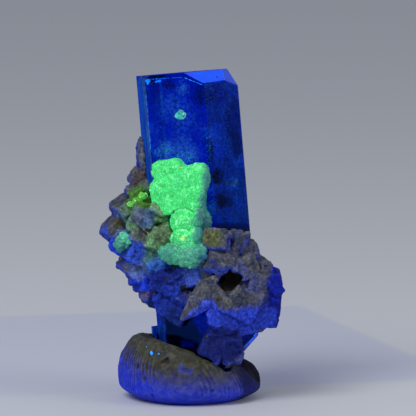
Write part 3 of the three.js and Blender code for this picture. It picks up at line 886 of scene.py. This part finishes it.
# The two globes' middles and radii.
GLOBES = [
    (Vector((CRUST[1].x - 2.77, CRUST[0].y + 2.3, CRUST[0].z + 4.4)), 1.45),
    (Vector((CRUST[1].x - 2.97, CRUST[0].y + 1.8, CRUST[0].z + 2.75)), 1.25),
]
RING_SPACING = 0.3
TOWARDS_PRISM = LEAN @ Vector((0.37, 0.93, 0))
# A place on the prism's broad face, how far the crust stands out of that face before it is
# pressed flatter, and by what share.
BROAD_FACE = (175, 140)
CRUST_FACE = 1.0
CRUST_PRESS = 0.45
# Small round marks in the crust: place in the photograph and radius in millimetres.
RING_MARKS = [(186, 176, 0.42), (160, 186, 0.35), (172, 198, 0.4), (192, 190, 0.3), (165, 172, 0.3)]
# The bright ridge between the crust's front and its thin right side, as places in the photograph.
CRUST_RIDGE = [(190, 167), (199, 172), (198, 186), (195, 200), (192, 208)]


def pressed_flat(made, face):
    """Draws the crust's lumps back towards its own flat front."""
    for vertex in made.verts:
        out = (face - vertex.co).dot(TOWARDS_PRISM)
        upper = smooth_step(vertex.co.z, CRUST[0].z + 5.0, CRUST[0].z + 6.0)
        extra = max(0.0, out - CRUST_FACE) * CRUST_PRESS * upper
        vertex.co += TOWARDS_PRISM * extra
    made.normal_update()


def ridge_height(place, ridge):
    """1 along the ridge's line, falling to 0 beside it."""
    away = 9.0
    for start, end in zip(ridge, ridge[1:]):
        along = end - start
        share = min(max((place - start).dot(along) / along.length_squared, 0.0), 1.0)
        away = min(away, (place - start - along * share).length)
    return 1 - smooth_step(away, 0.0, 0.4)


def opal_relief(marks, ridge, roughness):
    """The relief of the hyalite: a botryoidal skin, rings round the globes, small marks, a ridge."""

    def height(place, normal):
        domes = 0.05 * (0.5 - min(noise.voronoi(place * 0.9)[0][0], 0.9) ** 2)
        beads = 0.03 * (0.5 - min(noise.voronoi(place * 3.2 + Vector((5, 3, 1)))[0][0], 0.9) ** 2)
        coarse = 1 + 2 * smooth_step(CRUST[0].z + 3.0 - place.z, 0.0, 1.0)
        rough = roughness * coarse * noise.fractal(place * 2.4, 0.8, 2.0, 3)
        rings = 0.0
        for centre, reach in GLOBES:
            offset = place - centre
            across = math.hypot(offset.x, offset.z)
            share = 1 - smooth_step(offset.length, reach * 0.95, reach * 1.15)
            rings += 0.022 * share * math.sin(2 * math.pi * across / RING_SPACING)
            domes *= 1 - 0.8 * share
            beads *= 1 - 0.5 * share
        for centre, radius in marks:
            away = (place - centre).length / radius
            rings += 0.05 * math.exp(-(((away - 0.8) / 0.22) ** 2))
            rings -= 0.05 * math.exp(-((away / 0.45) ** 2))
        back = 0.2 * smooth_step(normal.dot(TOWARDS_PRISM), 0.6, 0.9)
        return 0.05 + domes + beads + rough + rings + back + 0.1 * ridge_height(place, ridge)

    return height


def painted_globe_rings(place):
    """Painted light on the front of each globe: broken bright rings of painted highlight, and a dark
    seam of painted shade round it.
    """
    shine = 0.0
    patchy = smooth_step(noise.noise(place * 2.2), -0.25, 0.35)
    for centre, reach in GLOBES:
        offset = place - centre
        if offset.y < 0.2:
            across = math.hypot(offset.x, offset.z) / reach + 0.05 * noise.noise(place * 1.8)
            shine += 0.034 * patchy * math.exp(-(((across - 0.84) / 0.07) ** 2))
            shine += 0.02 * patchy * math.exp(-(((across - 0.5) / 0.09) ** 2))
            shine -= 0.06 * math.exp(-(((across - 0.98) / 0.06) ** 2))
            shine -= 0.02 * math.exp(-(((across - 0.66) / 0.06) ** 2))
    return shine


def teal_share(place):
    """The hyalite thins to teal at its right side and towards the foot of the lower dome."""
    drift = 0.5 * noise.noise(place * 0.8) + 0.35 * noise.noise(place * 2.4)
    slant = 0.16 * (CRUST[1].z - 2.0 - place.z)
    aside = 0.7 * smooth_step(place.x + drift + slant, CRUST[1].x - 1.6, CRUST[1].x - 0.3)
    low = smooth_step(CRUST[0].z + 2.9 + drift - place.z, -0.8, 1.4)
    low *= 0.5 + 0.5 * smooth_step(place.x, CRUST[0].x + 3.6, CRUST[1].x - 0.4)
    left = 0.3 * smooth_step(CRUST[0].x + 3.0 - place.x, 0.0, 1.6)
    return min(1.0, max(aside, low + left * low) + 0.15 * noise.noise(place * 1.3))


# Specks, seams and duller places of the crust: place in the photograph, reach, share and colour.
CRUST_STAINS = [
    (182, 238, 0.3, 0.8, (180, 225, 120)),
    (175, 216, 0.7, 0.5, (40, 176, 84)),
    (174, 213, 0.4, 0.9, (14, 84, 50)),
    (174, 240, 0.6, 0.6, (30, 150, 70)),
    (180, 167, 0.25, 0.6, (110, 130, 60)),
    (162, 200, 0.8, 0.5, (44, 180, 100)),
    (176, 182, 0.9, 0.4, (52, 200, 120)),
    (186, 176, 0.25, 0.7, (40, 190, 120)),
    (202, 214, 1.0, 0.7, (40, 110, 110)),
    (208, 222, 1.0, 0.8, (36, 92, 104)),
]


def hyalite_look(name, bright, deep, tint=0.0):
    """Glossy green opal with a painted glow, bluer where it thins out; painted light on its raised parts
    and painted shade in its hollows.
    """
    material, tree, shader = new_material(name)
    where = places(tree)
    raised = stored(tree, "raised")
    medium = grain(tree, where, 0.7, detail=4.0, roughness=0.6)
    fine = grain(tree, where, 0.14, detail=3.0, roughness=0.7)
    beads = cells(tree, where, 0.24)
    green = blend(tree, spread(tree, medium, 0.32, 0.68), srgb(*deep), srgb(*bright))
    # Painted light on the raised parts and the globes' bright rings, painted shade in the hollows and
    # the globes' seams.
    green = blend(tree, spread(tree, raised, 0.014, 0.048, 0.0, 0.9), green, srgb(156, 255, 184))
    green = blend(tree, spread(tree, raised, -0.02, -0.08, 0.0, 0.8), green, srgb(26, 132, 78))
    pale = blend(tree, spread(tree, medium, 0.35, 0.65), srgb(48, 142, 126), srgb(76, 168, 138))
    blue = blend(tree, spread(tree, medium, 0.35, 0.65), srgb(26, 84, 140), srgb(52, 126, 150))
    thin = calc(tree, "ADD", stored(tree, "thin"), tint)
    thin = calc(tree, "ADD", thin, calc(tree, "MULTIPLY", calc(tree, "SUBTRACT", medium, 0.5), 0.4))
    colour = blend(tree, spread(tree, thin, 0.05, 0.65), green, pale)
    colour = blend(tree, spread(tree, thin, 0.6, 1.05), colour, blue)
    if name == "green_hyalite":
        crust = shape_of("hyalite_crust")
        colour = stains_and_painted_light(tree, colour, wandered(tree, where, 0.5, 0.2), crust, CRUST_STAINS)
    colour = toned(tree, colour, beads, 0.1, 0.6, 1.08, 0.86)
    colour = toned(tree, colour, fine, 0.34, 0.66, 0.66, 1.24)
    tree.links.new(colour, shader.inputs["Base Color"])
    # Painted glow: the opal gives light in its own colour, less where it thins.
    tree.links.new(colour, shader.inputs["Emission Color"])
    tree.links.new(spread(tree, thin, 0.0, 0.9, 0.5, 0.05), shader.inputs["Emission Strength"])
    shader.inputs["Roughness"].default_value = 0.4
    shader.inputs["IOR"].default_value = 1.46
    relief = bump(tree, medium, 0.05, 0.4)
    relief = bump(tree, fine, 0.03, 0.6, below=relief)
    tree.links.new(relief, shader.inputs["Normal"])
    return material


def hyalite_piece(name, node, material, voxel=SKIN_OF_OPAL, roughness=0.1, thinner=0.0):
    """A rounded, beaded copy of a hyalite solid; only the crust has ring marks and a ridge."""
    made = remeshed(node_copy(node), voxel)
    marks = []
    ridge = []
    if node == "hyalite_crust":
        pressed_flat(made, seen(BERYL, *BROAD_FACE)[0])
    smoothed(made, 3)
    if node == "hyalite_crust":
        shape = BVHTree.FromBMesh(made)
        marks = [(seen(shape, right, down)[0], radius) for right, down, radius in RING_MARKS]
        ridge = [seen(shape, right, down)[0] for right, down in CRUST_RIDGE]
    relief = opal_relief(marks, ridge, roughness)
    pushed(made, lambda place, normal: relief(place, normal) - thinner)
    smoothed(made, 1, 0.3)
    _, stands = softened(made, 8)
    # The globes' painted highlight rings and shade seams go into the raised values.
    stands = [stand + painted_globe_rings(v.co) for stand, v in zip(stands, made.verts)]
    values = {"raised": stands, "thin": [teal_share(v.co) for v in made.verts]}
    return finished(name, made, material, [node], values=values)


# The putty
SKIN_OF_PUTTY = 0.115
RIDGE_SPACING = 0.46
RIDGE_HEIGHT = 0.045

# Where fingers pressed: the way round from the front to the right in degrees, the height, how far
# the print reaches, and where the whorl's middle lies from there, across and up.
FINGERPRINTS = [
    (38, 2.4, 4.4, (-7.4, -2.6)),
    (-52, 2.8, 3.6, (8.0, 0.6)),
    (100, 1.8, 3.2, (-4.5, -3.0)),
    (150, 2.2, 3.4, (-5.0, -1.2)),
    (-150, 3.0, 3.6, (4.6, 2.4)),
    (-105, 3.2, 3.0, (-4.4, -3.2)),
]


def print_frames():
    """Each print's point on the putty's side, its across direction, reach, whorl and facing."""
    centre = middle(LUMP)
    half = (LUMP[1] - LUMP[0]) / 2
    frames = []
    for degrees, height, reach, whorl in FINGERPRINTS:
        angle = math.radians(degrees)
        out = Vector((math.sin(angle), -math.cos(angle), 0))
        point = Vector((centre.x + out.x * half.x, centre.y + out.y * half.y, height))
        across = Vector((math.cos(angle), math.sin(angle), 0))
        frames.append((point, across, reach, whorl, out))
    return frames


PRINTS = print_frames()
PUTTY = shape_of("mounting_putty")
# The hump at the right, the pinched crease and the scrape in front, pits and bumps with their reach.
HUMP = seen(PUTTY, 250, 374)[0]
PINCH = seen(PUTTY, 165, 360)[0]
SCRAPE = seen(PUTTY, 185, 370)[0]
PITS = [
    (seen(PUTTY, right, down)[0], reach)
    for right, down, reach in (
        (138, 366, 0.5),
        (145, 379, 0.4),
        (152, 396, 0.4),
        (133, 390, 0.4),
        (213, 391, 0.35),
    )
]
BUMPS = [
    (seen(PUTTY, right, down)[0], reach)
    for right, down, reach in (
        (122, 360, 0.5),
        (127, 357, 0.35),
        (171, 357, 0.8),
        (160, 350, 0.5),
        (248, 370, 2.2),
    )
]


def fingerprint(place, normal):
    """Ridges in arcs round each whorl."""
    height = 0.0
    for point, across, reach, whorl, out in PRINTS:
        offset = place - point
        share = 1 - smooth_step(offset.length, reach * 0.6, reach)
        share *= smooth_step(normal.dot(out), 0.1, 0.5)
        if share <= 0:
            continue
        side = offset.dot(across) - whorl[0]
        up = offset.z - whorl[1]
        warp = 0.3 * noise.noise(place * 0.4)
        radius = math.hypot(side, up * 0.8) + warp
        worn = smooth_step(noise.noise(place * 0.7 + Vector((0, 4, 0))), -0.4, 0.1)
        height += share * worn * math.sin(2 * math.pi * radius / RIDGE_SPACING)
    return RIDGE_HEIGHT * height


def putty_relief(place, normal):
    """Pressed lumps, prints, a pinch and a scrape in front, small bumps and pits."""
    swell = 0.16 * noise.fractal(place * 0.3, 1.0, 2.0, 2)
    fold = 0.06 * noise.fractal(place * 1.0, 0.9, 2.0, 3)
    pinch = place - PINCH
    groove = (pinch.z - 0.55 * pinch.x) / 0.15
    crease = math.exp(-(groove**2) - (pinch.x / 0.45) ** 2) * close_to(place, PINCH, 2.5)
    scrape = place - SCRAPE
    dent = math.exp(-((scrape.x / 0.7) ** 2) - ((scrape.z + 0.25 * scrape.x) / 0.26) ** 2)
    dent *= close_to(place, SCRAPE, 2.5)
    marks = fingerprint(place, normal) * (1 - dent) - 0.35 * crease - 0.16 * dent
    marks -= sum(0.18 * close_to(place, spot, reach) for spot, reach in PITS)
    marks += sum(0.3 * close_to(place, spot, reach) for spot, reach in BUMPS)
    return smooth_step(place.z, 0.05, 0.6) * (0.05 + swell + fold + marks)


def rolled_under(place):
    """Draws the putty's lowest rim in, so that it curls onto the table."""
    share = 1 - smooth_step(place.z, 0.0, 1.6)
    centre = middle(LUMP)
    return Vector((centre.x - place.x, centre.y - place.y, 0)) * 0.16 * share * share


# The putty's colours. The blue and violet are painted blue light, the shade and shadow ones painted
# shade.
PUTTY_OLIVE = (52, 52, 42)
PUTTY_PALE = (78, 78, 70)
PUTTY_PAINTED_BLUE_LIGHT = (24, 46, 206)
PUTTY_PAINTED_VIOLET_LIGHT = (50, 68, 208)
PUTTY_SHADE = (12, 17, 80)
PUTTY_SCRAPE = (46, 66, 190)
PUTTY_PAINTED_SHADOW = (8, 9, 34)
# Putty colour marks and painted light and shade: place in the photograph, reach, share and colour. The
# shade and shadow at the hump, the dark brown in the pinched crease and the near-black in the pits are
# painted shade; the violet at the left is painted blue light.
PUTTY_STAINS_AND_PAINTED_LIGHT = [
    (252, 384, 3.4, 0.85, PUTTY_SHADE),
    (250, 374, 2.6, 1.0, PUTTY_PAINTED_SHADOW),
    (248, 367, 4.0, 1.0, PUTTY_PAINTED_SHADOW),
    (242, 362, 4.0, 1.0, PUTTY_PAINTED_SHADOW),
    (167, 361, 0.5, 0.8, (34, 28, 24)),
    (182, 369, 0.6, 0.5, PUTTY_SCRAPE),
    (189, 372, 0.6, 0.5, PUTTY_SCRAPE),
    (138, 366, 0.3, 0.9, PAINTED_HOLLOW_SHADE),
    (145, 379, 0.3, 0.7, BROWN),
    (133, 390, 0.35, 0.8, BROWN),
    (152, 396, 0.3, 0.8, PAINTED_HOLLOW_SHADE),
    (213, 391, 0.25, 0.8, PAINTED_HOLLOW_SHADE),
    (190, 352, 1.8, 0.5, PUTTY_OLIVE),
    (122, 361, 0.6, 0.7, PUTTY_PAINTED_VIOLET_LIGHT),
]
# Splinters on the putty, made bright by painted glints: place in the photograph and size.
SPLINTERS = [(152, 353.5, 0.3), (159, 354, 0.14), (147, 347, 0.1), (163, 352, 0.08)]


def putty_look():
    """Dull olive-brown putty, with painted violet-blue light towards the foot and the left, and painted
    shade that darkens its pits, its crease and its hump.
    """
    material, tree, shader = new_material("mounting_putty_dull")
    where = places(tree)
    broad = grain(tree, where, 3.5, detail=3.0)
    medium = grain(tree, where, 0.7, detail=5.0, roughness=0.65)
    fine = grain(tree, where, 0.14, detail=3.0, roughness=0.7)
    olive = blend(tree, spread(tree, medium, 0.35, 0.65), srgb(*PUTTY_OLIVE), srgb(*PUTTY_PALE))
    violet = blend(tree, spread(tree, medium, 0.35, 0.65), srgb(*PUTTY_PAINTED_BLUE_LIGHT), srgb(*PUTTY_PAINTED_VIOLET_LIGHT))
    split = add_node(tree, "ShaderNodeSeparateXYZ", {"Vector": where}).outputs
    # Painted blue light: low places and faces turned left take violet-blue.
    height = calc(tree, "MULTIPLY", split["Z"], 1 / (LUMP[1].z * MM))
    height = calc(tree, "ADD", height, calc(tree, "MULTIPLY", broad, 0.3))
    height = calc(tree, "ADD", height, calc(tree, "MULTIPLY", medium, 0.2))
    height = calc(tree, "SUBTRACT", height, calc(tree, "MULTIPLY", stored(tree, "turned"), 0.32))
    colour = blend(tree, spread(tree, height, 0.22, 0.88), violet, olive)
    ragged = wandered(tree, where, 0.5, 0.25)
    colour = stains_and_painted_light(tree, colour, ragged, PUTTY, PUTTY_STAINS_AND_PAINTED_LIGHT)
    # Painted shade in the grooves and hollows, painted light on the ridges.
    colour = toned(tree, colour, stored(tree, "raised"), -0.04, 0.04, 0.55, 1.25)
    colour = toned(tree, colour, fine, 0.3, 0.7, 0.8, 1.16)
    tree.links.new(colour, shader.inputs["Base Color"])
    tree.links.new(spread(tree, medium, 0.3, 0.7, 0.55, 0.8), shader.inputs["Roughness"])
    shader.inputs["Specular IOR Level"].default_value = 0.12
    relief = bump(tree, medium, 0.05, 0.5)
    relief = bump(tree, fine, 0.03, 0.7, below=relief)
    tree.links.new(relief, shader.inputs["Normal"])
    return material


def leaning_left(way):
    """1 where a surface faces left, 0 where it faces the front or up."""
    return smooth_step(-way.x, 0.35, 0.9)


def mounting_putty():
    """The pressed lump, with its hump raised and its lowest rim rolled under."""
    made = remeshed(node_copy("mounting_putty"), SKIN_OF_PUTTY)
    smoothed(made, 4)
    pushed(made, putty_relief)
    for vertex in made.verts:
        raise_by = close_to(vertex.co, HUMP, 4.0) * smooth_step(vertex.co.z, 1.0, 3.0)
        vertex.co.z += 0.5 * raise_by
        vertex.co += rolled_under(vertex.co)
        vertex.co.z = max(vertex.co.z, 0.0)
    ways, stands = softened(made, 6)
    values = {"raised": stands, "turned": [leaning_left(way) for way in ways]}
    return finished(
        "pressed_putty", made, putty_look(), ["mounting_putty"], values=values
    )


def putty_splinters(material):
    """Crystal splinters that stick in the putty, made bright by painted glints."""
    made = bmesh.new()
    for i, (right, down, size) in enumerate(SPLINTERS):
        place, normal = seen(PUTTY, right, down)
        crumb(made, place + normal * 0.06, size, 900 + i)
    return finished("splinters_in_putty", made, material, smooth=False)


# The stage
def floor_look():
    material, _, shader = new_material("pale_floor")
    shader.inputs["Base Color"].default_value = (0.60, 0.62, 0.66, 1.0)
    shader.inputs["Roughness"].default_value = 0.6
    return material


def floor():
    made = bmesh.new()
    bmesh.ops.create_grid(made, x_segments=1, y_segments=1, size=6.0)
    mesh = bpy.data.meshes.new("floor")
    made.to_mesh(mesh)
    made.free()
    mesh.materials.append(floor_look())
    piece = bpy.data.objects.new("floor", mesh)
    bpy.context.scene.collection.objects.link(piece)


def softbox(name, place, aim, size, power):
    light = bpy.data.lights.new(name, "AREA")
    light.shape = "SQUARE"
    light.size = size * MM
    light.energy = power
    lamp = bpy.data.objects.new(name, light)
    lamp.location = Vector(place) * MM
    away = Vector(place) - Vector(aim)
    lamp.rotation_euler = away.to_track_quat("Z", "Y").to_euler()
    lamp.visible_camera = False
    bpy.context.scene.collection.objects.link(lamp)


# The dark card lies beside the specimen and stands up at its far end: the place on the prism's
# left face that mirrors it, its length, width and height, and its gap before the prism.
CARD_MIRRORED_AT = (142, 110)
CARD_LENGTH = 60
CARD_WIDTH = 70
CARD_HEIGHT = 40
CARD_GAP = 3


def mirrored_card():
    """A dark blue card, kept out of view, that the crystal's left side mirrors."""
    face, normal = seen(BERYL, *CARD_MIRRORED_AT)
    _, _, _, back = camera_place()
    mirrored = back.reflect(normal) * -1
    away = Vector((mirrored.x, mirrored.y, 0)).normalized()
    turn = away.to_track_quat("Y", "Z").to_matrix().to_4x4()
    foot = Vector((face.x, face.y, 0.3)) + away * (CARD_LENGTH / 2 + CARD_GAP)
    here = Matrix.Scale(MM, 4) @ Matrix.Translation(foot) @ turn
    lying = Matrix.Diagonal((CARD_WIDTH, CARD_LENGTH, 1, 1))
    upright = Matrix.Translation((0, CARD_LENGTH / 2, CARD_HEIGHT / 2))
    upright = upright @ Matrix.Rotation(math.pi / 2, 4, "X")
    upright = upright @ Matrix.Diagonal((CARD_WIDTH, CARD_HEIGHT, 1, 1))
    made = bmesh.new()
    for part in (lying, upright):
        bmesh.ops.create_grid(made, x_segments=1, y_segments=1, size=0.5, matrix=here @ part)
    mesh = bpy.data.meshes.new("dark_card")
    made.to_mesh(mesh)
    made.free()
    material, _, shader = new_material("dark_card")
    shader.inputs["Base Color"].default_value = (0.0, 0.0, 0.0, 1.0)
    shader.inputs["Specular IOR Level"].default_value = 0.0
    shader.inputs["Emission Color"].default_value = (0.008, 0.035, 0.55, 1.0)
    shader.inputs["Emission Strength"].default_value = 0.8
    mesh.materials.append(material)
    card = bpy.data.objects.new("dark_card", mesh)
    card.visible_camera = False
    card.visible_diffuse = False
    card.visible_shadow = False
    bpy.context.scene.collection.objects.link(card)


def studio():
    """Two soft lamps, the dark card and even, slightly blue air."""
    aim = Vector((0, 0, 16))
    softbox("key_softbox", (-170, -260, 300), aim, 220, 1.1)
    softbox("side_softbox", (320, -160, 160), aim, 180, 0.3)
    mirrored_card()
    world = bpy.data.worlds.new("studio_air")
    world.use_nodes = True
    background = world.node_tree.nodes["Background"]
    background.inputs["Color"].default_value = (0.86, 0.90, 1.0, 1.0)
    background.inputs["Strength"].default_value = 0.4
    bpy.context.scene.world = world
    bpy.context.scene.view_settings.view_transform = "Standard"


def camera():
    """The view of the photograph, whose frame is about 42 mm wide at the specimen."""
    data = bpy.data.cameras.new("photograph_view")
    data.sensor_width = 36
    data.lens = data.sensor_width * VIEW_DISTANCE / (FRAME_PIXELS / PIXELS_PER_MM)
    data.clip_start = 0.01
    data.clip_end = 20
    start, _, _, back = camera_place()
    view = bpy.data.objects.new("photograph_view", data)
    view.location = start * MM
    view.rotation_euler = back.to_track_quat("Z", "Y").to_euler()
    bpy.context.scene.collection.objects.link(view)
    bpy.context.scene.camera = view


camera()
studio()
floor()
aquamarine_crystal()
PALE_FLAKES = veil_look("pale_veil", (60, 110, 235), 0.08)
# Painted light: the look of the teal flakes.
PAINTED_TEAL_LIGHT_LOOK = veil_look("painted_teal_light", (60, 190, 190), 0.1)
DARK_FLAKES = veil_look("dark_veil", (4, 8, 22), 0.0)
RUST_FLAKES = veil_look("rust_veil", (150, 96, 60), 0.02)
# Painted highlight: the look of the lit chip, the bars along the edges and the splinters' glints.
PAINTED_HIGHLIGHT_LOOK = veil_look("painted_highlight", (30, 140, 255), 0.8)
veil_piece("pale_veils", PALE_VEILS, PALE_FLAKES, 10000)
veil_piece("painted_teal_light_flakes", PAINTED_TEAL_LIGHT_CLOUDS, PAINTED_TEAL_LIGHT_LOOK, 30000)
veil_piece("dark_veils", DARK_VEILS, DARK_FLAKES, 50000)
veil_piece("rust_veils", RUST_VEILS, RUST_FLAKES, 70000)
GREY_FLAKES = veil_look("grey_veil", (74, 92, 130), 0.15)
veil_piece("grey_veils", GREY_VEILS, GREY_FLAKES, 80000)
veil_piece("painted_light_chip", PAINTED_LIGHT_CHIP_CLOUDS, PAINTED_HIGHLIGHT_LOOK, 90000)
painted_edge_highlights(PAINTED_HIGHLIGHT_LOOK)
feldspar_matrix()
GREEN = hyalite_look("green_hyalite", (68, 218, 118), (48, 192, 98))
YELLOW = hyalite_look("yellow_green_hyalite", (88, 178, 56), (54, 140, 44))
TEAL = hyalite_look("teal_hyalite", (66, 190, 140), (44, 140, 130), tint=0.1)
LOZENGE = hyalite_look("blue_green_hyalite", (52, 190, 176), (16, 100, 120))
hyalite_piece("hyalite_crust_and_globes", "hyalite_crust", GREEN, roughness=0.075)
hyalite_piece("hyalite_on_upper_block", "hyalite_upper_patch", YELLOW, 0.07, thinner=0.2)
hyalite_piece("hyalite_on_left_block", "hyalite_left_patch", TEAL, 0.07)
hyalite_piece("hyalite_lozenge_on_prism", "hyalite_lozenge", LOZENGE, 0.05)
mounting_putty()
putty_splinters(PAINTED_HIGHLIGHT_LOOK)
